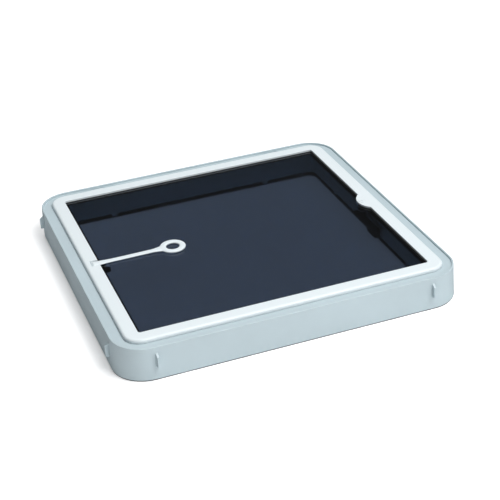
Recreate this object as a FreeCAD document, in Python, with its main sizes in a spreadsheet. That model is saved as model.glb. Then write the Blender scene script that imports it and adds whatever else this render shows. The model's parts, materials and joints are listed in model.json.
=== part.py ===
import FreeCAD, Part

# Square deck hatch: a moulded surface-mount base with a rain gutter, a hinged lid frame with a smoked
# pane, two half-turn latches and a fold-up ring pull. Millimetres; +Z up; the origin is under the
# middle of the deck gasket, and +Y points towards the hinges.

import math
import os
import re

import Sketcher

DIMENSIONS = (
    # the base, from the deck upwards
    ("base_half", 249.5, "half the outer width of the base skirt at its foot"),
    ("rim_half", 248.0, "half its outer width at the rim: the skirt leans inwards"),
    ("base_corner", 48.0, "outer corner radius of the skirt at its foot"),
    ("skirt_thick", 3.0, "thickness of the skirt"),
    ("deck_gasket_thick", 1.5, "thickness of the gasket under the base"),
    ("deck_gasket_inset", 0.5, "gasket edge behind the skirt face"),
    ("rim_top", 49.0, "height of the rim above the deck"),
    ("rim_round", 1.0, "radius on the two edges of the rim"),
    ("shoulder_top", 46.4, "height of the shoulder that forms the gutter floor"),
    ("step_half", 229.3, "half width of the step down from the shoulder to the moat"),
    ("gutter_top", 40.0, "height of the moat floor under the lid"),
    ("gutter_thick", 3.0, "thickness of the moat floor, the step and the shoulder"),
    ("coaming_half", 215.0, "half the width between the coaming walls"),
    ("coaming_thick", 3.0, "thickness of the coaming wall"),
    ("coaming_corner", 14.0, "inner corner radius of the coaming"),
    ("coaming_foot", 7.0, "height of the lower edge of the coaming"),
    # mounting bosses and the ribs that tie the two walls together
    ("screw_far", 221.0, "screw centre from the middle, across the side"),
    ("screw_along", 130.0, "screw centre from the middle, along the side"),
    ("screw_hole", 2.2, "radius of a mounting hole"),
    ("screw_head", 4.4, "radius of its countersink"),
    ("boss_round", 5.2, "radius of a mounting boss"),
    ("gasket_hole", 3.2, "radius of the gasket's screw hole"),
    ("rib_thick", 3.0, "thickness of a rib"),
    ("rib_foot", 20.0, "height of the lower edge of a rib"),
    # locating fins on the skirt
    ("fin_along", 198.0, "fin centre from the middle of its side"),
    ("fin_width", 3.6, "width of a fin"),
    ("fin_tip", 2.4, "width of a fin at its outer edge"),
    ("fin_proud", 5.0, "how far a fin stands out from the skirt's foot"),
    ("fin_root", 2.0, "how deep a fin is sunk into the skirt"),
    ("fin_low", 20.0, "height of the lower edge of a fin"),
    ("fin_high", 41.0, "height of the top of a fin"),
    ("fin_slope", 5.0, "drop of its sloping top"),
    # hinge recesses in the rear shoulder, each with a drain through the skirt at both ends
    ("recess_half", 26.4, "half the length of a hinge recess"),
    ("recess_back", 243.4, "rear wall of a hinge recess from the middle"),
    ("drain_wide", 8.0, "width of a drain"),
    ("drain_tall", 3.5, "height of a drain"),
    # the lid frame
    ("opening_half", 210.0, "half the width inside the white bar"),
    ("lid_half", 230.5, "half the outer width of the lid"),
    ("lid_corner", 24.0, "outer corner radius of the lid"),
    ("lid_top", 52.0, "height of the top of the lid"),
    ("lid_round", 3.8, "radius of its outer top edge"),
    ("lip_round", 0.6, "radius of the edge round the pane"),
    ("lip_thick", 3.0, "thickness of the lip over the pane"),
    ("web_low", 47.0, "underside of the bar over the gasket"),
    ("land_low", 44.0, "underside of the screw land and drip skirt"),
    ("land_half", 222.0, "outer half width of the screw land"),
    ("drip_half", 226.0, "inner half width of the drip skirt"),
    ("drip_out", 228.4, "outer half width of the drip skirt"),
    ("brim_low", 46.8, "underside of the brim that covers the step"),
    ("pocket_half", 216.0, "half width of the pocket for the pane"),
    # the pane, its seal and its retainers
    ("pane_half", 215.5, "half the width of the pane"),
    ("pane_thick", 4.4, "thickness of the pane"),
    ("seal_peek", 1.0, "how far the glazing seal shows inside the lip"),
    ("retainer_half", 206.0, "half the width inside the retainers"),
    ("retainer_corner", 2.0, "inner corner radius of the retainers"),
    ("retainer_thick", 2.0, "thickness of a retainer"),
    ("retainer_gap", 30.3, "half the gap between front and rear retainers"),
    ("land_screw", 219.0, "retainer screw from the middle, across the side"),
    ("land_near", 60.0, "nearer retainer screws from the middle, along the side"),
    ("land_far", 180.0, "farther retainer screws of the front and rear sides"),
    ("land_far_side", 150.0, "farther retainer screws of the left and right sides"),
    ("land_pilot", 1.45, "radius of a retainer screw's pilot hole"),
    ("pilot_top", 50.0, "height that the pilot holes reach"),
    # the lid gasket
    ("lid_gasket_in", 222.3, "inner half width of the lid gasket"),
    ("lid_gasket_out", 225.7, "outer half width of the lid gasket"),
    ("lid_gasket_gap", 0.3, "gap between the gasket and the moat floor"),
    # hinges
    ("hinge_along", 150.0, "hinge centre from the middle"),
    ("hinge_back", 239.0, "hinge axis behind the middle"),
    ("hinge_up", 44.0, "height of the hinge axis"),
    ("knuckle_round", 2.8, "radius of a knuckle"),
    ("knuckle_half", 9.8, "half the length of the lid knuckle"),
    ("knuckle_bore", 1.8, "radius of the bore for the friction bush"),
    ("bush_bore", 1.35, "bore radius of the friction bush"),
    ("arm_low", 42.6, "underside of the knuckle arm"),
    ("arm_top", 45.8, "top of the knuckle arm"),
    ("ear_near", 10.3, "inner face of a bracket ear from the hinge centre"),
    ("ear_bore", 1.32, "radius of the hole in an ear"),
    ("plate_thick", 0.9, "thickness of the web that joins the two ears"),
    ("bracket_half", 26.0, "half the length of the bracket"),
    ("bracket_depth", 8.0, "depth of the bracket"),
    ("bracket_round", 0.5, "radius on the top edges of its blocks"),
    ("hinge_pin", 1.3, "radius of the hinge pin"),
    ("hinge_pin_half", 18.9, "half the length of the hinge pin"),
    ("bracket_screw", 20.5, "bracket screw from the hinge centre"),
    ("bracket_pilot", 45.0, "top of the bracket's pilot holes"),
    # small countersunk screw, shared by brackets, retainers, housings and strikes
    ("small_shank", 1.4, "radius of the small screw"),
    ("small_head", 2.7, "radius of its head"),
    ("small_head_deep", 1.4, "depth of its countersunk head"),
    ("small_long", 7.5, "length of the small screw"),
    ("cross_long", 3.2, "length of the cross recess"),
    ("cross_wide", 0.6, "width of the cross recess"),
    ("cross_deep", 0.7, "depth of the cross recess"),
    # latches
    ("latch_out", 206.5, "latch spindle from the middle"),
    ("spindle_round", 2.5, "radius of the spindle"),
    ("spindle_head", 4.4, "radius of the left spindle's head"),
    ("spindle_head_low", 42.8, "underside of that head"),
    ("spindle_low", 18.8, "lower end of the spindle"),
    ("housing_bore", 2.55, "bore radius of the housing, washer, cam and handle"),
    ("housing_round", 6.5, "radius of the housing barrel"),
    ("housing_low", 36.0, "lower end of the housing barrel"),
    ("housing_inner", 205.8, "inner edge of the housing flange"),
    ("housing_half", 30.0, "half the length of the housing flange"),
    ("housing_screw", 24.0, "housing screw from the spindle, along the side"),
    ("washer_round", 5.8, "radius of the wave washer"),
    ("washer_low", 34.2, "underside of the washer"),
    ("washer_high", 35.7, "top of the washer"),
    ("cam_low", 29.0, "underside of the cam"),
    ("cam_high", 33.6, "top of the cam"),
    ("cam_reach", 13.5, "cam tip from the spindle"),
    ("cam_half", 4.5, "half the width of the cam"),
    ("hub_low", 19.0, "underside of the handle hub"),
    ("hub_high", 28.4, "top of the handle hub"),
    ("handle_long", 54.0, "handle end from the spindle"),
    ("handle_half", 5.0, "half the width of the handle"),
    ("handle_thick", 6.0, "thickness of the handle arm"),
    ("grip_start", 26.0, "start of the grip from the spindle"),
    ("grip_low", 11.0, "underside of the grip"),
    ("handle_round", 2.0, "radius on the handle's edges"),
    ("hub_screw_head", 3.4, "radius of the handle screw's head"),
    ("hub_screw_thick", 2.0, "thickness of that head"),
    ("hub_screw_shank", 1.5, "radius of its shank"),
    ("hub_screw_long", 8.0, "length of its shank"),
    # the boss and turn cap over the right-hand latch
    ("boss_radius", 31.0, "radius of the half-round boss"),
    ("boss_out", 230.4, "centre of that radius from the middle"),
    ("cap_round", 4.8, "radius of the turn cap"),
    ("cap_low", 50.2, "underside of the turn cap"),
    ("cap_high", 52.3, "top of the turn cap"),
    ("cap_slot", 1.1, "width of the slot in the cap"),
    ("cap_slot_deep", 0.7, "depth of that slot"),
    ("cap_seat", 5.1, "radius of the cap's seat"),
    ("cap_edge", 0.4, "radius on the cap's top edge"),
    ("pane_hole", 5.3, "radius of the spindle hole in the pane"),
    ("ring_in", 2.6, "inner radius of the spindle seal"),
    ("ring_out", 5.2, "outer radius of the spindle seal"),
    # strike slots in the coaming
    ("slot_low", 27.6, "lower edge of the strike slot"),
    ("slot_high", 35.0, "upper edge of the strike slot"),
    ("slot_rear", 11.8, "slot edge on the side the cam comes from"),
    ("slot_front", 5.6, "slot edge on the other side"),
    ("strike_thick", 1.4, "thickness of the strike plate"),
    ("strike_edge", 5.5, "strike plate round the slot"),
    ("strike_screw", 3.0, "screw centre outside the slot"),
    # ring pull
    ("pull_front", -5.0, "ring pull centre line along the side"),
    ("pull_pivot", 218.9, "pivot from the middle"),
    ("pull_pivot_up", 49.0, "height of the pivot"),
    ("pull_barrel", 2.7, "radius of the pull's barrel"),
    ("pull_half", 7.7, "half the length of the barrel"),
    ("pull_bore", 1.25, "radius of the bore in the barrel"),
    ("pull_pin", 1.2, "radius of the pull's pin"),
    ("pull_pin_half", 12.5, "half the length of the pin"),
    ("pull_pocket_out", 221.9, "outer wall of the pocket from the middle"),
    ("pull_pocket_low", 45.6, "floor of the pocket"),
    ("pull_side_gap", 0.4, "gap at each side of the pull in its pocket"),
    ("stalk_low", 49.3, "underside of the stalk"),
    ("stalk_high", 51.8, "top of the stalk"),
    ("stalk_root", 13.0, "width of the stalk at the pocket"),
    ("stalk_end", 9.0, "width of the stalk at the ring"),
    ("stalk_round", 0.9, "radius on the stalk's edges"),
    ("ring_centre", 99.0, "centre of the finger ring from the middle"),
    ("finger_out", 19.0, "outer radius of the finger ring"),
    ("finger_in", 9.75, "inner radius of the finger ring"),
    ("finger_low", 48.9, "underside of the finger ring"),
    ("finger_high", 52.4, "top of the finger ring"),
    ("finger_round", 1.3, "radius on the finger ring's edges"),
)

doc = FreeCAD.newDocument("deck_hatch")
sheet = doc.addObject("Spreadsheet::Sheet", "dims")
for row, (alias, value, meaning) in enumerate(DIMENSIONS, start=1):
    sheet.set(f"A{row}", meaning)
    sheet.set(f"B{row}", str(value))
    sheet.setAlias(f"B{row}", alias)
doc.recompute()

# heights and widths that follow from the driving ones
LIP_LOW = "lid_top - lip_thick"
PANE_TOP = "land_low + pane_thick"
RETAINER_LOW = "land_low - retainer_thick"
GUTTER_LOW = "gutter_top - gutter_thick"
CORNER_CENTRE = "lid_half - lid_corner"
WALL_INSIDE = "rim_half - skirt_thick"
RIM_CORNER = "base_corner - (base_half - rim_half)"
SIDES = {"left": -1, "right": 1}
MERGE = 0.5  # how deep a feature is sunk into the one that it grows from
CLEAR = 0.1  # play round a screw


def expression(text):
    """The text with each word turned into a reference to the sheet's cell of that name."""
    return re.sub(r"[a-z]\w*", lambda word: "dims." + word.group(0), str(text))


def number(text):
    """The present value of such a text."""
    value = sheet.evalExpression(expression(text))
    return float(getattr(value, "Value", value))


def minus(text):
    return f"-({text})"


def bind(thing, **sizes):
    """Bind each named property to the sheet."""
    for name, text in sizes.items():
        thing.setExpression(name, expression(text))
    return thing


def place(thing, x, y, z, rotation=None):
    """Put an object at three bound coordinates, turned by a fixed rotation."""
    if rotation is not None:
        thing.Placement.Rotation = rotation
    for axis, text in zip("xyz", (x, y, z)):
        thing.setExpression(f"Placement.Base.{axis}", expression(text))
    return thing


ALONG_X = FreeCAD.Rotation(FreeCAD.Vector(0, 1, 0), 90)
ALONG_Y = FreeCAD.Rotation(FreeCAD.Vector(1, 0, 0), -90)
UPSIDE_DOWN = FreeCAD.Rotation(FreeCAD.Vector(1, 0, 0), 180)


def about_z(degrees):
    return FreeCAD.Rotation(FreeCAD.Vector(0, 0, 1), degrees)


def towards_middle(side):
    """The turn that points +Z inwards from the left or right side."""
    return FreeCAD.Rotation(FreeCAD.Vector(0, 1, 0), -90 * side)


def cylinder(name, radius, low, high, x="0", y="0"):
    """An upright cylinder between two heights."""
    solid = bind(doc.addObject("Part::Cylinder", name), Radius=radius, Height=f"({high}) - ({low})")
    return place(solid, x, y, low)


def lying_cylinder(name, radius, long, start, rotation):
    """A cylinder along X or Y from its start point."""
    solid = bind(doc.addObject("Part::Cylinder", name), Radius=radius, Height=long)
    return place(solid, *start, rotation=rotation)


def cone(name, lower, upper, low, high, x="0", y="0"):
    """An upright cone frustum between two heights."""
    solid = doc.addObject("Part::Cone", name)
    bind(solid, Radius1=lower, Radius2=upper, Height=f"({high}) - ({low})")
    return place(solid, x, y, low)


def box(name, lowest, highest):
    """A box between two corners."""
    spans = [f"({b}) - ({a})" for a, b in zip(lowest, highest)]
    solid = bind(doc.addObject("Part::Box", name), Length=spans[0], Width=spans[1], Height=spans[2])
    return place(solid, *lowest)


def fuse(name, parts):
    solid = doc.addObject("Part::MultiFuse", name)
    solid.Shapes = parts
    return solid


def cut(name, base, tools):
    """The base less all the tools."""
    solid = doc.addObject("Part::Cut", name)
    solid.Base = base
    solid.Tool = tools[0] if len(tools) == 1 else fuse(name + "_tools", tools)
    return solid


def common(name, base, tool):
    solid = doc.addObject("Part::Common", name)
    solid.Base = base
    solid.Tool = tool
    return solid


def rounded(name, base, radius, wanted):
    """The base with every edge that the test picks rounded to one radius."""
    doc.recompute()
    solid = doc.addObject("Part::Fillet", name)
    solid.Base = base
    size = number(radius)
    edges = base.Shape.Edges
    solid.Edges = [(i, size, size) for i, edge in enumerate(edges, start=1) if wanted(edge)]
    return solid


def mirrored_x(text, side):
    """An x coordinate on the given side of the hatch."""
    return text if side > 0 else minus(text)


def x_span(inner, outer, side):
    """Lowest and highest x of a span given by its distances from the middle."""
    if side > 0:
        return inner, outer
    return minus(outer), minus(inner)


def origin_plane(body, role):
    return next(feature for feature in body.Origin.OriginFeatures if feature.Role == role)


def square_outline(sketch, label, half, radius):
    """A rounded square about the sketch's origin, bound by its half width and its corner radius."""
    size = number(half)
    bend = number(radius)
    centre = size - bend
    first = sketch.GeometryCount
    centres = (centre, centre), (-centre, centre), (-centre, -centre), (centre, -centre)
    for turn, (x, y) in enumerate(centres):
        circle = Part.Circle(FreeCAD.Vector(x, y, 0), FreeCAD.Vector(0, 0, 1), bend)
        sketch.addGeometry(Part.ArcOfCircle(circle, math.radians(90 * turn), math.radians(90 * turn + 90)))
    ends = (
        ((centre, size), (-centre, size)),
        ((-size, centre), (-size, -centre)),
        ((-centre, -size), (centre, -size)),
        ((size, -centre), (size, centre)),
    )
    for start, end in ends:
        sketch.addGeometry(Part.LineSegment(FreeCAD.Vector(*start, 0), FreeCAD.Vector(*end, 0)))
    for turn in range(4):
        arc = first + turn
        line = first + 4 + turn
        following = first + (turn + 1) % 4
        sketch.addConstraint(Sketcher.Constraint("Tangent", arc, 2, line, 1))
        sketch.addConstraint(Sketcher.Constraint("Tangent", line, 2, following, 1))
        direction = "Vertical" if turn % 2 else "Horizontal"
        sketch.addConstraint(Sketcher.Constraint(direction, line))
        if turn:
            sketch.addConstraint(Sketcher.Constraint("Equal", first, arc))
    sketch.addConstraint(Sketcher.Constraint("Symmetric", first, 3, first + 2, 3, -1, 1))
    sketch.addConstraint(Sketcher.Constraint("Equal", first + 4, first + 5))
    measures = (
        ("half", half, Sketcher.Constraint("DistanceX", -1, 1, first + 7, 1, size)),
        ("radius", radius, Sketcher.Constraint("Radius", first, bend)),
    )
    for kind, text, constraint in measures:
        index = sketch.addConstraint(constraint)
        sketch.renameConstraint(index, f"{label}_{kind}")
        sketch.setExpression(f"Constraints.{label}_{kind}", expression(text))


def square_pad(body, name, low, high, outer, inner=None):
    """A rounded square plate or ring, each outline given as (half width, corner radius)."""
    sketch = body.newObject("Sketcher::SketchObject", name + "_sketch")
    sketch.AttachmentSupport = [(origin_plane(body, "XY_Plane"), "")]
    sketch.MapMode = "FlatFace"
    sketch.setExpression("AttachmentOffset.Base.z", expression(low))
    square_outline(sketch, "outer", *outer)
    if inner:
        square_outline(sketch, "inner", *inner)
    pad = body.newObject("PartDesign::Pad", name)
    pad.Profile = sketch
    pad.setExpression("Length", expression(f"({high}) - ({low})"))
    return pad


def on_outline(edge, half, height):
    """Whether an edge lies at one height on the square of one half width."""
    size = number(half)
    level = number(height)
    bounds = edge.BoundBox
    reach = max(abs(bounds.XMin), abs(bounds.XMax), abs(bounds.YMin), abs(bounds.YMax))
    return abs(bounds.ZMin - level) < 1e-4 and abs(bounds.ZMax - level) < 1e-4 and abs(reach - size) < 1e-4


def round_outlines(body, name, radius, outlines):
    """Round the edges of a body that lie on the given outlines, each a half width and a height."""
    doc.recompute()
    before = body.Tip
    wanted = []
    for index, edge in enumerate(before.Shape.Edges, start=1):
        if any(on_outline(edge, half, height) for half, height in outlines):
            wanted.append(f"Edge{index}")
    fillet = body.newObject("PartDesign::Fillet", name)
    fillet.Base = (before, wanted)
    fillet.setExpression("Radius", expression(radius))


def new_body(name):
    return doc.addObject("PartDesign::Body", name)


def plain_ring(name, low, high, outer, inner):
    """A body of one ring."""
    body = new_body(name)
    square_pad(body, name + "_pad", low, high, outer, inner)
    return body


def quarter_turns(across, along):
    """The four places that a point (along, across) takes under quarter turns about Z, with their angles."""
    return (
        (along, across, 0),
        (minus(across), along, 90),
        (minus(along), minus(across), 180),
        (across, minus(along), 270),
    )


def offset_square(half):
    """A lid outline: every one has its corner arcs centred on the same four points."""
    return half, f"{half} - ({CORNER_CENTRE})"


nodes = {}


def publish(label, solid):
    """Name a finished piece; its label is its file name."""
    solid.Label = label
    nodes[label] = solid


def screw_group(label, prototype, places):
    """Copies of one screw, each moved by a placement, as separate solids in one piece."""
    doc.recompute()
    group = doc.addObject("Part::Feature", label)
    copies = []
    for placement in places:
        copy = prototype.Shape.copy()
        copy.Placement = placement.multiply(copy.Placement)
        copies.append(copy)
    group.Shape = Part.makeCompound(copies)
    publish(label, group)


def at(x, y, z, rotation=FreeCAD.Rotation()):
    """A placement at three texts."""
    return FreeCAD.Placement(FreeCAD.Vector(number(x), number(y), number(z)), rotation)


def mounting_places():
    """The eight mounting screw centres, two on each side of the square."""
    for along in ("screw_along", minus("screw_along")):
        yield from quarter_turns("screw_far", along)


# ---------------------------------------------------------------- base
def leaning_block(body, name, low, high, outline, top_half):
    """A rounded square block whose sides lean in to a smaller half width at its top."""
    block = square_pad(body, name, low, high, outline)
    lean = expression(f"(({outline[0]}) - ({top_half})) / (({high}) - ({low}))")
    block.setExpression("TaperAngle", f"-atan({lean})")
    return block


def square_pocket(body, name, top, deep, outline):
    """A rounded square hole cut downwards from a height."""
    sketch = body.newObject("Sketcher::SketchObject", name + "_sketch")
    sketch.AttachmentSupport = [(origin_plane(body, "XY_Plane"), "")]
    sketch.MapMode = "FlatFace"
    sketch.setExpression("AttachmentOffset.Base.z", expression(top))
    square_outline(sketch, "hole", *outline)
    pocket = body.newObject("PartDesign::Pocket", name)
    pocket.Profile = sketch
    pocket.setExpression("Length", expression(deep))


def base_shell():
    """Skirt, shoulder, step, moat floor and coaming wall as nested rounded squares."""
    body = new_body("base_shell")
    foot = "base_half", "base_corner"
    inside = WALL_INSIDE, f"{RIM_CORNER} - skirt_thick"
    middle = "rim_half - skirt_thick / 2", f"{RIM_CORNER} - skirt_thick / 2"
    coaming = "coaming_half", "coaming_corner"
    step_inside = offset_square("step_half")
    step_outside = offset_square("step_half + gutter_thick")
    leaning_block(body, "skirt", "deck_gasket_thick", "rim_top", foot, "rim_half")
    square_pocket(body, "skirt_hollow", "rim_top", "rim_top", inside)
    square_pad(body, "shoulder", "shoulder_top - gutter_thick", "shoulder_top", middle, step_inside)
    square_pad(body, "step", GUTTER_LOW, f"shoulder_top - {MERGE}", step_outside, step_inside)
    square_pad(body, "moat", GUTTER_LOW, "gutter_top", step_outside, coaming)
    coaming_outside = "coaming_half + coaming_thick", "coaming_corner + coaming_thick"
    square_pad(body, "coaming", "coaming_foot", "gutter_top", coaming_outside, coaming)
    round_outlines(body, "rim_fillet", "rim_round", (("rim_half", "rim_top"), (WALL_INSIDE, "rim_top")))
    return body


def mounting_boss(index, x, y):
    return cylinder(f"boss_{index}", "boss_round", "deck_gasket_thick", f"{GUTTER_LOW} + {MERGE}", x, y)


def mounting_tools(index, x, y):
    """Through hole and countersink of one mounting screw."""
    deep = "screw_head - screw_hole"
    return [
        cylinder(f"hole_{index}", "screw_hole", "0", "gutter_top + 1", x, y),
        cone(f"sink_{index}", "screw_hole", "screw_head", f"gutter_top - ({deep})", "gutter_top", x, y),
    ]


def rib(index, x, y, degrees):
    """A rib across the space between coaming and skirt, in line with a mounting screw."""
    solid = doc.addObject("Part::Box", f"rib_{index}")
    bind(
        solid,
        Length="rib_thick",
        Width=f"{WALL_INSIDE} - coaming_half - coaming_thick + {2 * MERGE}",
        Height=f"{GUTTER_LOW} - rib_foot + {MERGE}",
    )
    inner = f"coaming_half + coaming_thick - {MERGE}"
    reach = {
        0: (f"{x} - rib_thick / 2", inner),
        90: (minus(inner), f"{y} - rib_thick / 2"),
        180: (f"{x} + rib_thick / 2", minus(inner)),
        270: (inner, f"{y} + rib_thick / 2"),
    }
    return place(solid, *reach[degrees], "rib_foot", rotation=about_z(degrees))


def fin(index, x, y, degrees):
    """A thin fin on the skirt: flat below, sloping at the top, slightly narrower at its outer edge."""
    solid = doc.addObject("Part::Wedge", f"fin_{index}")
    bind(
        solid,
        Xmin="-fin_width / 2",
        Xmax="fin_width / 2",
        X2min="-fin_tip / 2",
        X2max="fin_tip / 2",
        Ymin="0",
        Ymax="fin_proud + fin_root",
        Zmin="0",
        Zmax="fin_high - fin_low",
        Z2min="0",
        Z2max="fin_high - fin_low - fin_slope",
    )
    return place(solid, x, y, "fin_low", rotation=about_z(degrees))


def hinge_recess_block(side, name):
    """The floor and end walls that close a hinge recess from below."""
    centre = mirrored_x("hinge_along", side)
    low = f"{centre} - recess_half - gutter_thick", "step_half", GUTTER_LOW
    high = f"{centre} + recess_half + gutter_thick", f"{WALL_INSIDE} + {MERGE}", "shoulder_top"
    return box(f"recess_block_{name}", low, high)


def hinge_recess(side, name):
    """The recess itself, open to the moat, and a drain through the skirt at each of its ends."""
    centre = mirrored_x("hinge_along", side)
    low = f"{centre} - recess_half", f"step_half - {MERGE}", "gutter_top"
    high = f"{centre} + recess_half", "recess_back", "rim_top + 1"
    tools = [box(f"recess_{name}", low, high)]
    for end, start in (("a", f"{centre} - recess_half"), ("b", f"{centre} + recess_half - drain_wide")):
        near = start, f"recess_back - {MERGE}", "gutter_top"
        far = f"{start} + drain_wide", f"base_half + {MERGE}", "gutter_top + drain_tall"
        tools.append(box(f"drain_{name}_{end}", near, far))
    return tools


def strike_opening(side, name):
    """The slot that the latch cam turns into, through the coaming and its strike plate."""
    nearest = f"coaming_half - strike_thick - {MERGE}"
    farthest = f"coaming_half + coaming_thick + {MERGE}"
    start, end = x_span(nearest, farthest, side)
    return box(name, (start, "-slot_front", "slot_low"), (end, "slot_rear", "slot_high"))


def bracket_screw_places(side):
    """The two bracket screws of one hinge, as x coordinates."""
    centre = mirrored_x("hinge_along", side)
    return f"{centre} - bracket_screw", f"{centre} + bracket_screw"


def base_frame():
    grown = [base_shell()]
    tools = []
    for index, (x, y, degrees) in enumerate(mounting_places()):
        grown.append(mounting_boss(index, x, y))
        grown.append(rib(index, x, y, degrees))
        tools += mounting_tools(index, x, y)
    index = 0
    for along in ("fin_along", minus("fin_along")):
        for x, y, degrees in quarter_turns("base_half - fin_root", along):
            grown.append(fin(index, x, y, degrees))
            index += 1
    for name, side in SIDES.items():
        grown.append(hinge_recess_block(side, name))
        tools += hinge_recess(side, name)
        tools.append(strike_opening(side, f"strike_slot_{name}"))
        for end, x in zip("ab", bracket_screw_places(side)):
            clear = f"bracket_clear_{name}_{end}"
            tools += screw_hole(clear, x, "hinge_back", GUTTER_LOW, "gutter_top")
        start = x_span("coaming_half - 1", "coaming_half + coaming_thick + 1", side)[0]
        for end, y in zip("ab", strike_screw_places()):
            hole = f"strike_pilot_{name}_{end}"
            from_face = start, y, strike_middle()
            tools.append(lying_cylinder(hole, "land_pilot", "coaming_thick + 2", from_face, ALONG_X))
    publish("base_frame", cut("base_frame", fuse("base_grown", grown), tools))


def deck_gasket():
    """A flat gasket under the skirt and the bosses."""
    outer = "base_half - deck_gasket_inset", "base_corner - deck_gasket_inset"
    inner = "coaming_half", "coaming_corner"
    ring = plain_ring("deck_gasket_ring", "0", "deck_gasket_thick", outer, inner)
    holes = [
        cylinder(f"gasket_hole_{index}", "gasket_hole", "-1", "deck_gasket_thick + 1", x, y)
        for index, (x, y, _) in enumerate(mounting_places())
    ]
    publish("deck_gasket", cut("deck_gasket", ring, holes))


# ---------------------------------------------------------------- small screw
def small_screw():
    """A countersunk cross-head screw, head up, with the top of its head at the origin."""
    head = cone("screw_cone", "small_shank", "small_head", "-small_head_deep", "0")
    shank = cylinder("screw_shank", "small_shank", "1 - small_long", "-small_head_deep + 0.1")
    point = cone("screw_point", "0.2", "small_shank", "-small_long", "1 - small_long")
    long = "cross_long / 2"
    wide = "cross_wide / 2"
    crosses = [
        box("screw_cross_x", (minus(long), minus(wide), "-cross_deep"), (long, wide, "1")),
        box("screw_cross_y", (minus(wide), minus(long), "-cross_deep"), (wide, long, "1")),
    ]
    return cut("small_screw", fuse("screw_blank", [head, shank, point]), crosses)


def screw_hole(name, x, y, low, high):
    """Clearance hole for a small screw, with a countersink in the lower face for a flush head."""
    radius = f"small_shank + {CLEAR}"
    end = f"({low}) + small_head_deep + 1"
    return [
        cylinder(name + "_hole", radius, low, high, x, y),
        cone(name + "_sink", f"small_head + {CLEAR}", "small_shank", low, end, x, y),
    ]


# ---------------------------------------------------------------- hinges
def hinge_bracket(name, side):
    """Two blocks, flush with the shoulder and rounded round the hinge axis, joined under the knuckle."""
    centre = mirrored_x("hinge_along", side)
    front = "hinge_back - bracket_depth / 2"
    rear = "hinge_back + bracket_depth / 2"
    grown = [
        box(
            f"bracket_web_{name}",
            (f"{centre} - ear_near - 1", front, "gutter_top"),
            (f"{centre} + ear_near + 1", rear, "gutter_top + plate_thick"),
        )
    ]
    for end, start in (("a", f"{centre} - bracket_half"), ("b", f"{centre} + ear_near")):
        low = start, front, "gutter_top"
        high = f"{start} + bracket_half - ear_near", rear, "shoulder_top"
        block = box(f"ear_{name}_{end}", low, high)
        grown.append(rounded(f"ear_rounded_{name}_{end}", block, "bracket_round", is_top_of_ear))
    bore_start = f"{centre} - bracket_half", "hinge_back", "hinge_up"
    tools = [lying_cylinder(f"ear_bore_{name}", "ear_bore", "2 * bracket_half", bore_start, ALONG_X)]
    for end, x in zip("ab", bracket_screw_places(side)):
        pilot = "gutter_top - 1", "bracket_pilot"
        tools.append(cylinder(f"bracket_pilot_{name}_{end}", "land_pilot", *pilot, x, "hinge_back"))
    publish(f"hinge_bracket_{name}", cut(f"hinge_bracket_{name}", fuse(f"bracket_{name}", grown), tools))


def is_top_of_ear(edge):
    return abs(edge.BoundBox.ZMin - number("shoulder_top")) < 1e-4


def hinge_pin(name, side):
    """A plain pin through both blocks; the bracket screws stand across its ends and keep it in."""
    start = f"{mirrored_x('hinge_along', side)} - hinge_pin_half", "hinge_back", "hinge_up"
    pin = lying_cylinder(f"hinge_pin_{name}", "hinge_pin", "2 * hinge_pin_half", start, ALONG_X)
    publish(f"hinge_pin_{name}", pin)


def hinge_bush(name, side):
    """The friction bush inside the lid knuckle."""
    start = f"{mirrored_x('hinge_along', side)} - knuckle_half", "hinge_back", "hinge_up"
    long = "2 * knuckle_half"
    outside = lying_cylinder(f"bush_{name}", "knuckle_bore", long, start, ALONG_X)
    inside = lying_cylinder(f"bush_bore_{name}", "bush_bore", long, start, ALONG_X)
    publish(f"hinge_bush_{name}", cut(f"hinge_bush_{name}", outside, [inside]))


# ---------------------------------------------------------------- strikes
def strike_middle():
    return "(slot_low + slot_high) / 2"


def strike_screw_places():
    """The two screws of a strike plate, one beyond each end of its slot."""
    return "-slot_front - strike_screw", "slot_rear + strike_screw"


def strike_plate(name, side):
    """A thin plate on the coaming's inner face, round the slot."""
    faces = x_span("coaming_half - strike_thick", "coaming_half", side)
    low = faces[0], "-slot_front - strike_edge", "slot_low - strike_edge / 2"
    high = faces[1], "slot_rear + strike_edge", "slot_high + strike_edge / 2"
    plate = box(f"strike_blank_{name}", low, high)
    tools = [strike_opening(side, f"strike_hole_{name}")]
    start = x_span("coaming_half - 2 * strike_thick", "coaming_half + 1", side)[0]
    root = mirrored_x("coaming_half - strike_thick + small_head_deep", side)
    for end, y in zip("ab", strike_screw_places()):
        clear = f"strike_clear_{name}_{end}"
        from_face = start, y, strike_middle()
        long = "2 * strike_thick + 1"
        tools.append(lying_cylinder(clear, f"small_shank + {CLEAR}", long, from_face, ALONG_X))
        sink = doc.addObject("Part::Cone", f"strike_sink_{name}_{end}")
        bind(sink, Radius1="small_shank", Radius2=f"small_head + {CLEAR}", Height="small_head_deep")
        tools.append(place(sink, root, y, strike_middle(), rotation=towards_middle(side)))
    publish(f"strike_plate_{name}", cut(f"strike_plate_{name}", plate, tools))


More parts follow.
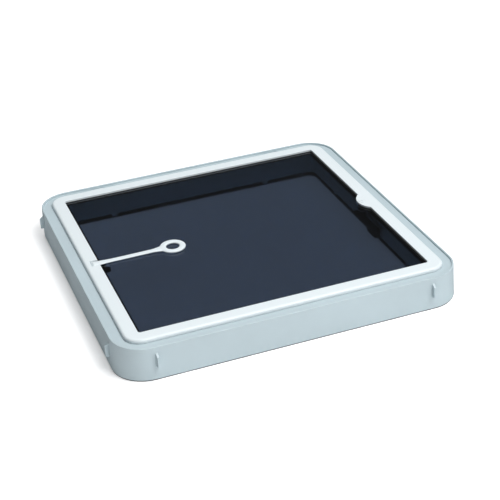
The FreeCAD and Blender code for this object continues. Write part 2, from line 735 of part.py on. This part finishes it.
# ---------------------------------------------------------------- lid
def lid_shell():
    """The white bar: lip over the pane, brim over the step, and web, screw land and drip skirt under it."""
    body = new_body("lid_shell")
    outer = offset_square("lid_half")
    square_pad(body, "lip", LIP_LOW, "lid_top", outer, offset_square("opening_half"))
    drip = offset_square("drip_out")
    square_pad(body, "web", "web_low", f"{LIP_LOW} + {MERGE}", drip, offset_square("pocket_half"))
    square_pad(body, "brim", "brim_low", f"{LIP_LOW} + {MERGE}", outer, offset_square("drip_half"))
    land = offset_square("land_half")
    square_pad(body, "land", "land_low", f"web_low + {MERGE}", land, offset_square("pocket_half"))
    square_pad(body, "drip", "land_low", f"web_low + {MERGE}", drip, offset_square("drip_half"))
    round_outlines(body, "lid_fillet", "lid_round", (("lid_half", "lid_top"),))
    round_outlines(body, "lip_fillet", "lip_round", (("opening_half", "lid_top"),))
    return body


def latch_boss():
    """The half-round boss that widens the bar over the right-hand latch."""
    disc = cylinder("boss_disc", "boss_radius", LIP_LOW, "lid_top", "boss_out", "0")
    low = "boss_out - boss_radius - 1", minus("boss_radius"), f"{LIP_LOW} - 1"
    high = "pocket_half", "boss_radius", "lid_top + 1"
    half = common("boss_half", disc, box("boss_limit", low, high))
    return rounded("boss_rounded", half, "lip_round", is_top_of_boss)


def is_top_of_boss(edge):
    return is_round_at(edge, "boss_radius", "lid_top")


def is_round_at(edge, radius, height):
    """Whether an edge is an arc of one radius at one height."""
    curve = edge.Curve
    if not hasattr(curve, "Radius"):
        return False
    level = number(height)
    return abs(curve.Radius - number(radius)) < 1e-4 and abs(edge.BoundBox.ZMin - level) < 1e-4


def knuckle(name, side):
    """The lid's knuckle and the arm that joins it to the drip skirt."""
    centre = mirrored_x("hinge_along", side)
    low = f"{centre} - knuckle_half", f"drip_out - {MERGE}", "arm_low"
    high = f"{centre} + knuckle_half", "hinge_back", "arm_top"
    start = f"{centre} - knuckle_half", "hinge_back", "hinge_up"
    barrel = lying_cylinder(f"knuckle_{name}", "knuckle_round", "2 * knuckle_half", start, ALONG_X)
    bore_start = f"{centre} - knuckle_half - 1", "hinge_back", "hinge_up"
    long = "2 * knuckle_half + 2"
    bore = lying_cylinder(f"knuckle_bore_{name}", "knuckle_bore", long, bore_start, ALONG_X)
    return [box(f"arm_{name}", low, high), barrel], [bore]


def land_screw_places():
    """The sixteen retainer screws: four along each side."""
    for along in ("land_near", "land_far", minus("land_near"), minus("land_far")):
        yield along, "land_screw"
        yield along, minus("land_screw")
    for along in ("land_near", "land_far_side", minus("land_near"), minus("land_far_side")):
        yield "land_screw", along
        yield minus("land_screw"), along


def housing_screw_places(side):
    x = mirrored_x("land_screw", side)
    return (x, "housing_screw"), (x, "-housing_screw")


def pull_pocket():
    """The pocket for the ring pull's barrel, the notch for its stalk and the hole for its pin."""
    low_y = "pull_front - pull_half - pull_side_gap"
    high_y = "pull_front + pull_half + pull_side_gap"
    pocket = box(
        "pull_pocket",
        ("-pull_pocket_out", low_y, "pull_pocket_low"),
        ("-pocket_half", high_y, "lid_top + 1"),
    )
    notch = box(
        "pull_notch",
        (f"-pocket_half - {MERGE}", low_y, LIP_LOW),
        ("-opening_half + 1", high_y, "lid_top + 1"),
    )
    start = "-pull_pivot", "pull_front - pull_pin_half", "pull_pivot_up"
    hole = lying_cylinder("pull_pin_hole", "pull_pin", "2 * pull_pin_half", start, ALONG_Y)
    return [pocket, notch, hole]


def lid_frame():
    grown = [lid_shell(), latch_boss()]
    tools = pull_pocket()
    for name, side in SIDES.items():
        added, bored = knuckle(name, side)
        grown += added
        tools += bored
    screws = list(land_screw_places())
    for side in SIDES.values():
        screws += housing_screw_places(side)
    for index, (x, y) in enumerate(screws):
        tools.append(cylinder(f"land_pilot_{index}", "land_pilot", "land_low - 1", "pilot_top", x, y))
    tools.append(cylinder("cap_seat", "cap_seat", "cap_low - 0.2", "lid_top + 1", "latch_out", "0"))
    tools.append(cylinder("boss_hole", "housing_bore", f"{LIP_LOW} - 1", "lid_top", "latch_out", "0"))
    publish("lid_frame", cut("lid_frame", fuse("lid_grown", grown), tools))


def pane():
    body = new_body("pane_plate")
    square_pad(body, "pane_pad", "land_low", PANE_TOP, offset_square("pane_half"))
    hole = cylinder("pane_hole", "pane_hole", "land_low - 1", f"{PANE_TOP} + 1", "latch_out", "0")
    publish("pane", cut("pane", body, [hole]))


def seals():
    """The glazing seal over the pane's edge and the gasket under the bar."""
    peek = "opening_half - seal_peek", "lid_corner - (lid_half - opening_half) - seal_peek"
    publish("glazing_seal", plain_ring("glazing_seal", PANE_TOP, LIP_LOW, offset_square("pane_half"), peek))
    low = "gutter_top + lid_gasket_gap"
    rings = offset_square("lid_gasket_out"), offset_square("lid_gasket_in")
    publish("lid_gasket", plain_ring("lid_gasket", low, "web_low", *rings))


def pane_retainer(label, sign):
    """The front or rear half of the flat ring that holds the pane from below."""
    inner = "retainer_half", "retainer_corner"
    ring = plain_ring(label + "_ring", RETAINER_LOW, "land_low", offset_square("land_half"), inner)
    near, far = ("retainer_gap", "lid_half") if sign > 0 else ("-lid_half", "-retainer_gap")
    low = "-lid_half", near, f"{RETAINER_LOW} - 1"
    limit = box(label + "_limit", low, ("lid_half", far, "land_low + 1"))
    half = common(label + "_half", ring, limit)
    tools = []
    for index, (x, y) in enumerate(land_screw_places()):
        if number(y) * sign > 0:
            tools += screw_hole(f"{label}_{index}", x, y, RETAINER_LOW, "land_low")
    publish(label, cut(label, half, tools))


# ---------------------------------------------------------------- latches
def latch_housing(name, side):
    """A flange in line with the retainers, with a barrel for the spindle through it."""
    x = mirrored_x("latch_out", side)
    span = x_span("housing_inner", "land_half", side)
    flange = box(
        f"flange_{name}",
        (span[0], "-housing_half", RETAINER_LOW),
        (span[1], "housing_half", "land_low"),
    )
    barrel = cylinder(f"barrel_{name}", "housing_round", "housing_low", "land_low", x)
    tools = [
        cylinder(f"barrel_bore_{name}", "housing_bore", "housing_low - 1", "land_low + 1", x),
        cylinder(f"barrel_seat_{name}", "spindle_head + 0.3", "spindle_head_low - 0.2", "land_low + 1", x),
    ]
    for index, (screw_x, screw_y) in enumerate(housing_screw_places(side)):
        tools += screw_hole(f"housing_{name}_{index}", screw_x, screw_y, RETAINER_LOW, "land_low")
    grown = fuse(f"housing_{name}", [flange, barrel])
    publish(f"latch_housing_{name}", cut(f"latch_housing_{name}", grown, tools))


def latch_spindle(name, side):
    """A spindle with a flange under the pane; the right one runs on up into the turn cap."""
    x = mirrored_x("latch_out", side)
    top = "cap_low" if side > 0 else "spindle_head_low + 0.5"
    shaft = cylinder(f"shaft_{name}", "spindle_round", "spindle_low", top, x)
    head = cylinder(f"shaft_head_{name}", "spindle_head", "spindle_head_low", "land_low - 0.2", x)
    depth = "spindle_low + hub_screw_long"
    thread = cylinder(f"shaft_thread_{name}", "hub_screw_shank", "spindle_low - 1", depth, x)
    blank = fuse(f"shaft_blank_{name}", [shaft, head])
    publish(f"latch_spindle_{name}", cut(f"latch_spindle_{name}", blank, [thread]))


def latch_washer(name, side):
    x = mirrored_x("latch_out", side)
    disc = cylinder(f"washer_disc_{name}", "washer_round", "washer_low", "washer_high", x)
    bore = cylinder(f"washer_bore_{name}", "housing_bore", "washer_low - 1", "washer_high + 1", x)
    publish(f"latch_washer_{name}", cut(f"latch_washer_{name}", disc, [bore]))


def latch_cam(name, side):
    """A flat cam that points into the hatch when the latch is free."""
    x = mirrored_x("latch_out", side)
    tip = mirrored_x("latch_out - cam_reach + cam_half", side)
    span = x_span("latch_out - cam_reach + cam_half", "latch_out", side)
    grown = [
        cylinder(f"cam_hub_{name}", "cam_half + 1", "cam_low", "cam_high", x),
        cylinder(f"cam_tip_{name}", "cam_half", "cam_low", "cam_high", tip),
        box(f"cam_bar_{name}", (span[0], "-cam_half", "cam_low"), (span[1], "cam_half", "cam_high")),
    ]
    bore = cylinder(f"cam_bore_{name}", "housing_bore", "cam_low - 1", "cam_high + 1", x)
    publish(f"latch_cam_{name}", cut(f"latch_cam_{name}", fuse(f"cam_{name}", grown), [bore]))


def latch_handle(name, side):
    """A handle that lies along the side: a hub, a flat arm and a deeper grip."""
    x = mirrored_x("latch_out", side)
    wide = f"{x} - handle_half", f"{x} + handle_half"
    arm = box(
        f"handle_arm_{name}",
        (wide[0], "-handle_long", "hub_low"),
        (wide[1], "0", "hub_low + handle_thick"),
    )
    grip = box(
        f"handle_grip_{name}",
        (wide[0], "-handle_long", "grip_low"),
        (wide[1], "-grip_start", "hub_low + handle_thick"),
    )
    lever = fuse(f"handle_lever_{name}", [arm, grip])
    lever.Refine = True
    smooth = rounded(f"handle_smooth_{name}", lever, "handle_round", is_clear_of_hub)
    hub = cylinder(f"handle_hub_{name}", "housing_round", "hub_low", "hub_high", x)
    tools = [
        cylinder(f"handle_bore_{name}", "housing_bore", "hub_low - 1", "hub_high + 1", x),
    ]
    whole = fuse(f"handle_{name}", [smooth, hub])
    publish(f"latch_handle_{name}", cut(f"latch_handle_{name}", whole, tools))


def is_clear_of_hub(edge):
    return edge.BoundBox.YMin < -1


def latch_screw(name, side):
    """The screw that holds the handle on the spindle, from below."""
    x = mirrored_x("latch_out", side)
    low = "spindle_low - hub_screw_thick"
    head = cylinder(f"latch_screw_head_{name}", "hub_screw_head", low, "spindle_low", x)
    top = "spindle_low + hub_screw_long - 0.5"
    shank = cylinder(f"latch_screw_shank_{name}", "hub_screw_shank", low, top, x)
    slot = box(
        f"latch_screw_slot_{name}",
        (f"{x} - hub_screw_head", "-cross_wide / 2", f"{low} - 1"),
        (f"{x} + hub_screw_head", "cross_wide / 2", f"{low} + cross_deep"),
    )
    blank = fuse(f"latch_screw_blank_{name}", [head, shank])
    publish(f"latch_screw_{name}", cut(f"latch_screw_{name}", blank, [slot]))


def turn_cap():
    """The slotted cap on the right-hand spindle, flush in the boss."""
    disc = cylinder("cap_disc", "cap_round", "cap_low", "cap_high", "latch_out")
    smooth = rounded("cap_smooth", disc, "cap_edge", is_top_of_cap)
    slot = box(
        "cap_slot",
        ("latch_out - cap_slot / 2", "-cap_round * 0.75", "cap_high - cap_slot_deep"),
        ("latch_out + cap_slot / 2", "cap_round * 0.75", "cap_high + 1"),
    )
    publish("turn_cap", cut("turn_cap", smooth, [slot]))


def is_top_of_cap(edge):
    return is_round_at(edge, "cap_round", "cap_high")


def spindle_seal():
    """The ring between the right-hand spindle and the pane."""
    low = "land_low + 0.2"
    high = f"{PANE_TOP} - 0.2"
    disc = cylinder("spindle_seal_disc", "ring_out", low, high, "latch_out")
    bore = cylinder("spindle_seal_bore", "ring_in", f"{low} - 1", f"{high} + 1", "latch_out")
    publish("spindle_seal", cut("spindle_seal", disc, [bore]))


# ---------------------------------------------------------------- ring pull
def ring_pull():
    """Barrel, tapered stalk and finger ring in one moulding, lying flat over the pane."""
    middle = "-ring_centre", "pull_front"
    disc = cylinder("finger_disc", "finger_out", "finger_low", "finger_high", *middle)
    hole = cylinder("finger_hole", "finger_in", "finger_low - 1", "finger_high + 1", *middle)
    ring = rounded("finger_ring", cut("finger_blank", disc, [hole]), "finger_round", is_full_circle)
    stalk = doc.addObject("Part::Wedge", "stalk")
    bind(
        stalk,
        Xmin="-stalk_root / 2",
        Xmax="stalk_root / 2",
        X2min="-stalk_end / 2",
        X2max="stalk_end / 2",
        Ymin="0",
        Ymax="pull_pivot - ring_centre - finger_in - 2",
        Zmin="0",
        Zmax="stalk_high - stalk_low",
        Z2min="0",
        Z2max="stalk_high - stalk_low",
    )
    place(stalk, "-pull_pivot", "pull_front", "stalk_low", rotation=about_z(-90))
    smooth = rounded("stalk_smooth", stalk, "stalk_round", runs_along_stalk)
    start = "-pull_pivot", "pull_front - pull_half", "pull_pivot_up"
    barrel = lying_cylinder("pull_barrel", "pull_barrel", "2 * pull_half", start, ALONG_Y)
    bore = lying_cylinder("pull_bore", "pull_bore", "2 * pull_half", start, ALONG_Y)
    publish("ring_pull", cut("ring_pull", fuse("pull_blank", [ring, smooth, barrel]), [bore]))


def is_full_circle(edge):
    return len(edge.Vertexes) < 2


def runs_along_stalk(edge):
    return edge.BoundBox.XLength > number("finger_out")


def pull_pin():
    start = "-pull_pivot", "pull_front - pull_pin_half", "pull_pivot_up"
    publish("pull_pin", lying_cylinder("pull_pin", "pull_pin", "2 * pull_pin_half", start, ALONG_Y))


# ---------------------------------------------------------------- assembly
base_frame()
deck_gasket()
lid_frame()
pane()
seals()
pane_retainer("pane_retainer_rear", 1)
pane_retainer("pane_retainer_front", -1)
for name, side in SIDES.items():
    hinge_bracket(name, side)
    hinge_pin(name, side)
    hinge_bush(name, side)
    strike_plate(name, side)
    latch_housing(name, side)
    latch_spindle(name, side)
    latch_washer(name, side)
    latch_cam(name, side)
    latch_handle(name, side)
    latch_screw(name, side)
turn_cap()
spindle_seal()
ring_pull()
pull_pin()

screw = small_screw()
bracket_places = []
housing_places = []
strike_places = []
for side in SIDES.values():
    bracket_places += [at(x, "hinge_back", GUTTER_LOW, UPSIDE_DOWN) for x in bracket_screw_places(side)]
    housing_places += [at(x, y, RETAINER_LOW, UPSIDE_DOWN) for x, y in housing_screw_places(side)]
    face = mirrored_x("coaming_half - strike_thick", side)
    strike_places += [at(face, y, strike_middle(), towards_middle(side)) for y in strike_screw_places()]
land_places = [at(x, y, RETAINER_LOW, UPSIDE_DOWN) for x, y in land_screw_places()]
screw_group("hinge_screws", screw, bracket_places)
screw_group("strike_screws", screw, strike_places)
screw_group("retainer_screws", screw, land_places)
screw_group("housing_screws", screw, housing_places)

doc.recompute()
faulty = [thing.Name for thing in doc.Objects if {"Invalid", "Error"} & set(thing.State)]
if faulty:
    raise RuntimeError(f"objects that failed to build: {faulty}")
for label, solid in nodes.items():
    if solid.Shape.isNull() or not solid.Shape.isValid():
        raise RuntimeError(f"{label} has no valid shape")

os.makedirs("parts", exist_ok=True)
for label, solid in nodes.items():
    solid.Shape.exportStep(f"parts/{label}.step")
    print(f"{label}: {len(solid.Shape.Solids)} solid(s), {solid.Shape.Volume / 1000:.2f} cm3")
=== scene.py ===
import json
import math

import bmesh
import bpy
from mathutils import Matrix, Vector


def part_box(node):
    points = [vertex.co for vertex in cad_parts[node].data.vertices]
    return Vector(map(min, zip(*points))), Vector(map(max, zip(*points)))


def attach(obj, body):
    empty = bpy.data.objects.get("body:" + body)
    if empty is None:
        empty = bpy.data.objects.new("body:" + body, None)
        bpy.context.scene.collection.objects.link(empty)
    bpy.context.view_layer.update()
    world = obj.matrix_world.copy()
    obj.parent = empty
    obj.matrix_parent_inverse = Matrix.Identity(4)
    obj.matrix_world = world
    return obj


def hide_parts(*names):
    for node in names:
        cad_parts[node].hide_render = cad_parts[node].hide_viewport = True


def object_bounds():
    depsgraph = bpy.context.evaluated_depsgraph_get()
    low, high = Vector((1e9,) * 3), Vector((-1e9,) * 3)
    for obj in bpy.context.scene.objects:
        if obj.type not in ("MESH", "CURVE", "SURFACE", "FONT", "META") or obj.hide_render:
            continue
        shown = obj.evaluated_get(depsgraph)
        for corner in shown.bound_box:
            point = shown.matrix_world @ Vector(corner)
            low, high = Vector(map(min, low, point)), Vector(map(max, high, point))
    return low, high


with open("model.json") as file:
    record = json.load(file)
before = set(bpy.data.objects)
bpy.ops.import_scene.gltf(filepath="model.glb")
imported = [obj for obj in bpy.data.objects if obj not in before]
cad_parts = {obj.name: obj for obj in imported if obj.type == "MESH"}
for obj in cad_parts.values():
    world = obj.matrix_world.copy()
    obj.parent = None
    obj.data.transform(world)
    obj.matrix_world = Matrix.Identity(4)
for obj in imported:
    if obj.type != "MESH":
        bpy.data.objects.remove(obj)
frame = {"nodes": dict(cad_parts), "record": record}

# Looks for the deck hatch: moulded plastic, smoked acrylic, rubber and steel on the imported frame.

CAD_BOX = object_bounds()
MM = 0.001
LID_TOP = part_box("lid_frame")[1].z


# ------------------------------------------------------------------ node helpers
class Shader:
    """A material's node tree, with short calls to add and join its nodes."""

    def __init__(self, name):
        self.material = bpy.data.materials.new(name)
        self.material.use_nodes = True
        self.tree = self.material.node_tree
        self.surface = self.tree.nodes["Principled BSDF"]

    def node(self, kind, inputs=None, **settings):
        added = self.tree.nodes.new(kind)
        for name, value in settings.items():
            setattr(added, name, value)
        for name, value in (inputs or {}).items():
            self.feed(added.inputs[name], value)
        return added

    def feed(self, socket, value):
        """Link another node's output to a socket, or set the socket's own value."""
        if isinstance(value, bpy.types.NodeSocket):
            self.tree.links.new(value, socket)
        else:
            socket.default_value = value

    def set(self, **values):
        for name, value in values.items():
            self.feed(self.surface.inputs[name.replace("_", " ")], value)

    def place(self, scale=(1, 1, 1)):
        """Object coordinates in metres, which is the frame's own space, stretched by a scale."""
        coordinates = self.node("ShaderNodeTexCoord").outputs["Object"]
        return self.node("ShaderNodeMapping", {"Vector": coordinates, "Scale": scale}).outputs["Vector"]

    def noise(self, size, detail=3.0, roughness=0.5, stretch=(1, 1, 1)):
        """Noise whose grains are about this many metres across."""
        inputs = {
            "Vector": self.place(stretch),
            "Scale": 1.0 / size,
            "Detail": detail,
            "Roughness": roughness,
        }
        return self.node("ShaderNodeTexNoise", inputs).outputs["Fac"]

    def ramp(self, factor, low, high, start=0.0, end=1.0):
        """A factor stretched between two values."""
        inputs = {
            "Value": factor,
            "From Min": start,
            "From Max": end,
            "To Min": low,
            "To Max": high,
        }
        return self.node("ShaderNodeMapRange", inputs).outputs["Result"]

    def mix(self, factor, first, second):
        """A colour between two colours."""
        mixer = self.node("ShaderNodeMix", data_type="RGBA")
        self.feed(mixer.inputs["Factor"], factor)
        colours = [socket for socket in mixer.inputs if socket.type == "RGBA"]
        self.feed(colours[0], first)
        self.feed(colours[1], second)
        return next(socket for socket in mixer.outputs if socket.type == "RGBA")

    def bump(self, height, depth, strength=1.0, normal=None):
        """A bump of a real depth in metres."""
        inputs = {"Height": height, "Distance": depth, "Strength": strength}
        if normal is not None:
            inputs["Normal"] = normal
        return self.node("ShaderNodeBump", inputs).outputs["Normal"]


def shade(colour, factor):
    """A colour made lighter or darker, with its alpha kept."""
    return tuple(min(1.0, channel * factor) for channel in colour[:3]) + (1.0,)


def moulded(name, colour, gloss, mottle=0.05):
    """Injection-moulded plastic: slight cloudiness in its colour, a fine grain and uneven gloss."""
    shader = Shader(name)
    cloud = shader.ramp(shader.noise(90 * MM, 4.0, 0.55), 0.0, 1.0, 0.3, 0.7)
    clouded = shader.mix(cloud, shade(colour, 1 - mottle), shade(colour, 1 + mottle))
    speck = shader.ramp(shader.noise(1.6 * MM, 2.0), 0.0, 0.3, 0.66, 0.85)
    dusty = shader.mix(speck, clouded, shade(colour, 0.93))
    worn = shader.ramp(shader.noise(20 * MM, 5.0, 0.6), gloss - 0.06, gloss + 0.08)
    fine = shader.bump(shader.noise(0.4 * MM, 2.0), 0.01 * MM)
    wavy = shader.bump(shader.noise(35 * MM, 2.0), 0.12 * MM, 0.35, normal=fine)
    shader.set(Base_Color=dusty, Roughness=worn, Normal=wavy, IOR=1.5)
    return shader.material


def smoked_acrylic(name, colour):
    """Cast acrylic: dark, glossy, with a trace of dust and wiping marks."""
    shader = Shader(name)
    wipe = shader.noise(30 * MM, 4.0, 0.6, stretch=(1.0, 6.0, 1.0))
    gloss = shader.ramp(wipe, 0.03, 0.10, 0.35, 0.75)
    dust = shader.ramp(shader.noise(0.9 * MM), 0.0, 0.3, 0.66, 0.8)
    tint = shader.mix(dust, colour, shade(colour, 1.5))
    ripple = shader.bump(shader.noise(120 * MM, 1.0), 0.2 * MM, 0.25)
    shader.set(Base_Color=tint, Roughness=gloss, Normal=ripple, IOR=1.49, Transmission_Weight=1.0)
    return shader.material


def rubber(name, colour):
    """Black rubber with a grey bloom and open pores."""
    shader = Shader(name)
    bloom = shader.noise(15 * MM, 4.0, 0.6)
    dusty = shader.mix(shader.ramp(bloom, 0.0, 0.5, 0.45, 0.75), colour, shade(colour, 2.2))
    pores = shader.bump(shader.noise(0.5 * MM, 2.0), 0.03 * MM)
    shader.set(Base_Color=dusty, Roughness=shader.ramp(bloom, 0.62, 0.85), Normal=pores)
    return shader.material


def stainless(name, colour, stretch):
    """Brushed stainless steel, its brushing drawn out along one axis."""
    shader = Shader(name)
    brush = shader.noise(0.4 * MM, 3.0, 0.6, stretch=stretch)
    stain = shader.noise(6 * MM, 4.0)
    tone = shader.mix(shader.ramp(stain, 0.0, 0.5, 0.45, 0.75), colour, shade(colour, 0.72))
    shader.set(Base_Color=tone, Metallic=1.0, Roughness=shader.ramp(brush, 0.22, 0.42))
    shader.set(Normal=shader.bump(brush, 0.01 * MM, 0.6))
    return shader.material


MATERIALS = {
    "base_plastic": moulded("base_plastic", (0.50, 0.60, 0.64, 1), 0.40, mottle=0.03),
    "lid_plastic": moulded("lid_plastic", (0.81, 0.885, 0.915, 1), 0.36, mottle=0.006),
    "bracket_plastic": moulded("bracket_plastic", (0.50, 0.61, 0.65, 1), 0.34),
    "smoked_acrylic": smoked_acrylic("smoked_acrylic", (0.092, 0.122, 0.178, 1)),
    "gasket_rubber": rubber("gasket_rubber", (0.016, 0.017, 0.019, 1)),
    "black_plastic": moulded("black_plastic", (0.018, 0.02, 0.023, 1), 0.42, mottle=0.15),
    "handle_plastic": moulded("handle_plastic", (0.055, 0.045, 0.035, 1), 0.38, mottle=0.12),
    "nylon": moulded("nylon", (0.72, 0.70, 0.64, 1), 0.4),
    "stainless": stainless("stainless", (0.66, 0.66, 0.67, 1), (1.0, 12.0, 1.0)),
}


def dress(thing, slot):
    """Give an object the material of one of the record's slots."""
    thing.data.materials.clear()
    thing.data.materials.append(MATERIALS[slot])


for part in frame["record"]["subparts"]:
    dress(frame["nodes"][part["node"]], part["material_slot"])


# ------------------------------------------------------------------ ring pull
STALK_DROP = 1.45 * MM  # from the top of the lid down to the stalk's middle plane
RING_BAND = 4.6 * MM  # half the width of the finger ring's band
RING_THICK = 1.68 * MM  # half its height
RING_LOW = 0.04 * MM  # how far the ring stays under the top of its solid
STALK_WIDE = 4.5 * MM  # half the width of the stalk at its narrowest
STALK_THICK = 1.25 * MM  # half its height at its ends
FLARE_LONG = 17 * MM  # the length over which it widens into the ring
ROOT_LONG = 30 * MM  # the length over which it narrows from the lid
BARREL_HALF = 7.6 * MM
BARREL_ROUND = 2.65 * MM


def section(centre, across, up, half_width, half_height, count=28, power=2.8):
    """A closed loop of points between an ellipse and a rectangle, in the plane of two directions."""
    points = []
    for index in range(count):
        angle = math.tau * index / count
        u = math.copysign(abs(math.cos(angle)) ** (2 / power), math.cos(angle))
        v = math.copysign(abs(math.sin(angle)) ** (2 / power), math.sin(angle))
        points.append(centre + across * (u * half_width) + up * (v * half_height))
    return points


def loft(mesh, sections, closed):
    """Skin a row of sections with quads; an open row gets a cap at each end."""
    loops = [[mesh.verts.new(point) for point in points] for points in sections]
    following = loops[1:] + loops[:1] if closed else loops[1:]
    for first, second in zip(loops, following):
        for index in range(len(first)):
            after = (index + 1) % len(first)
            mesh.faces.new((first[index], first[after], second[after], second[index]))
    if not closed:
        mesh.faces.new(loops[0][::-1])
        mesh.faces.new(loops[-1])


def ease(value, start, end):
    """A smooth step from 0 to 1."""
    t = min(1.0, max(0.0, (value - start) / (end - start)))
    return t * t * (3 - 2 * t)


def finger_ring(mesh, centre, radius, half_width, half_height, steps=96):
    """The finger ring as a closed row of sections."""
    up = Vector((0, 0, 1))
    sections = []
    for step in range(steps):
        angle = math.tau * step / steps
        outwards = Vector((math.cos(angle), math.sin(angle), 0))
        sections.append(section(centre + outwards * radius, outwards, up, half_width, half_height))
    loft(mesh, sections, True)


def stalk(mesh, start, end, steps=90):
    """A bar that narrows and thins towards its middle and flares into the ring."""
    across = Vector((0, 1, 0))
    up = Vector((0, 0, 1))
    long = end.x - start.x
    sections = []
    for step in range(steps + 1):
        share = step / steps
        x = share * long
        flare = ease(x, long - FLARE_LONG, long)
        root = 1 - ease(x, 0, ROOT_LONG)
        dip = math.sin(math.pi * min(1.0, share * 1.1)) ** 2
        width = STALK_WIDE + (1.8 * root + 3.2 * flare) * MM
        height = STALK_THICK + (0.35 * flare - 0.22 * dip) * MM
        centre = start.lerp(end, share) - up * (0.12 * dip * MM)
        sections.append(section(centre, across, up, width, height))
    loft(mesh, sections, False)


def barrel(mesh, centre, half_long, radius, edge=0.8 * MM, steps=6):
    """The pivot barrel, with rounded ends."""
    along_x = Vector((1, 0, 0))
    up = Vector((0, 0, 1))
    sections = []
    for side in (-1, 1):
        for step in range(steps + 1)[:: -side]:
            lean = math.pi / 2 * step / steps
            y = side * (half_long - edge + edge * math.sin(lean))
            reach = radius - edge + edge * math.cos(lean)
            place = centre + Vector((0, y, 0))
            sections.append(section(place, along_x, up, reach, reach, power=2.0))
    loft(mesh, sections, False)


def melt(thing, grain, rounds):
    """Join overlapping closed shapes into one skin and soften the inside corners between them."""
    remesh = thing.modifiers.new("remesh", "REMESH")
    remesh.mode = "VOXEL"
    remesh.voxel_size = grain
    smooth = thing.modifiers.new("smooth", "SMOOTH")
    smooth.factor = 0.5
    smooth.iterations = rounds
    evaluated = thing.evaluated_get(bpy.context.evaluated_depsgraph_get())
    thing.data = bpy.data.meshes.new_from_object(evaluated)
    thing.modifiers.clear()
    thing.data.polygons.foreach_set("use_smooth", [True] * len(thing.data.polygons))


def ring_pull():
    """The pull as one soft moulding, in the space of its solid."""
    low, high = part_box("ring_pull")
    middle = (low.y + high.y) / 2
    ring_radius = (high.y - low.y) / 2
    ring_up = high.z - RING_THICK - RING_LOW
    ring_centre = Vector((high.x - ring_radius, middle, ring_up))
    pin_low, pin_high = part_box("pull_pin")
    pivot = (pin_low + pin_high) / 2
    mesh = bmesh.new()
    finger_ring(mesh, ring_centre, ring_radius - RING_BAND, RING_BAND, RING_THICK)
    stalk_start = Vector((pivot.x, middle, LID_TOP - STALK_DROP))
    stalk_end = Vector((ring_centre.x - ring_radius + RING_BAND, middle, ring_up))
    stalk(mesh, stalk_start, stalk_end)
    barrel(mesh, pivot, BARREL_HALF, BARREL_ROUND)
    data = bpy.data.meshes.new("ring_pull_moulding")
    mesh.to_mesh(data)
    mesh.free()
    piece = bpy.data.objects.new("ring_pull_moulding", data)
    bpy.context.scene.collection.objects.link(piece)
    melt(piece, 0.4 * MM, 8)
    dress(piece, "lid_plastic")
    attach(piece, "ring_pull")
    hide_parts("ring_pull")


ring_pull()


# ------------------------------------------------------------------ stage
def make_floor():
    """A pale floor that shines a little, so that shadows stay faint on it."""
    shader = Shader("studio_floor")
    cloud = shader.noise(0.4, 2.0)
    pale = shader.mix(cloud, (0.93, 0.93, 0.935, 1), (0.96, 0.96, 0.962, 1))
    shader.set(Base_Color=pale, Roughness=0.9)
    shader.set(Emission_Color=(1, 1, 1, 1), Emission_Strength=0.32)
    bpy.ops.mesh.primitive_plane_add(size=24.0, location=(0, 0, CAD_BOX[0][2]))
    floor = bpy.context.object
    floor.name = "floor"
    floor.data.materials.append(shader.material)
    floor.visible_glossy = False  # no sheen off the white floor on the shaded side


def make_light(name, place, size, watts):
    """A square soft box that points at the middle of the hatch's underside."""
    light = bpy.data.lights.new(name, "AREA")
    light.shape = "SQUARE"
    light.size = size
    light.energy = watts
    thing = bpy.data.objects.new(name, light)
    bpy.context.scene.collection.objects.link(thing)
    thing.location = place
    thing.rotation_euler = (-Vector(place)).to_track_quat("-Z", "Y").to_euler()


def make_world(brightness):
    """An even, faintly blue surround."""
    world = bpy.data.worlds.new("studio")
    world.use_nodes = True
    background = world.node_tree.nodes["Background"]
    background.inputs["Color"].default_value = (0.94, 0.97, 1.0, 1)
    background.inputs["Strength"].default_value = brightness
    bpy.context.scene.world = world


def make_camera(azimuth, elevation, roll, distance, target, lens):
    """A camera that looks at a target from an azimuth (0 looks along +Y), in degrees and metres."""
    a = math.radians(azimuth)
    e = math.radians(elevation)
    r = math.radians(roll)
    back = Vector((math.sin(a) * math.cos(e), -math.cos(a) * math.cos(e), math.sin(e)))
    level = (-back).cross(Vector((0, 0, 1))).normalized()
    upright = level.cross(-back)
    right = level * math.cos(r) + upright * math.sin(r)
    up = upright * math.cos(r) - level * math.sin(r)
    camera = bpy.data.cameras.new("camera")
    camera.lens = lens
    thing = bpy.data.objects.new("camera", camera)
    bpy.context.scene.collection.objects.link(thing)
    turn = Matrix((right, up, back)).transposed().to_4x4()
    thing.matrix_world = Matrix.Translation(Vector(target) + back * distance) @ turn
    bpy.context.scene.camera = thing


make_floor()
make_world(0.06)
make_light("key", (1.6, -1.9, 4.5), 2.7, 222)
make_light("top", (0.3, 1.8, 4.1), 3.0, 72)
make_light("front", (0.9, -4.0, 1.0), 1.8, 22)
make_camera(-18.71, 29.01, -3.7, 1.818, (-0.002, -0.0679, LID_TOP), 91.1)
bpy.context.scene.view_settings.view_transform = "Standard"
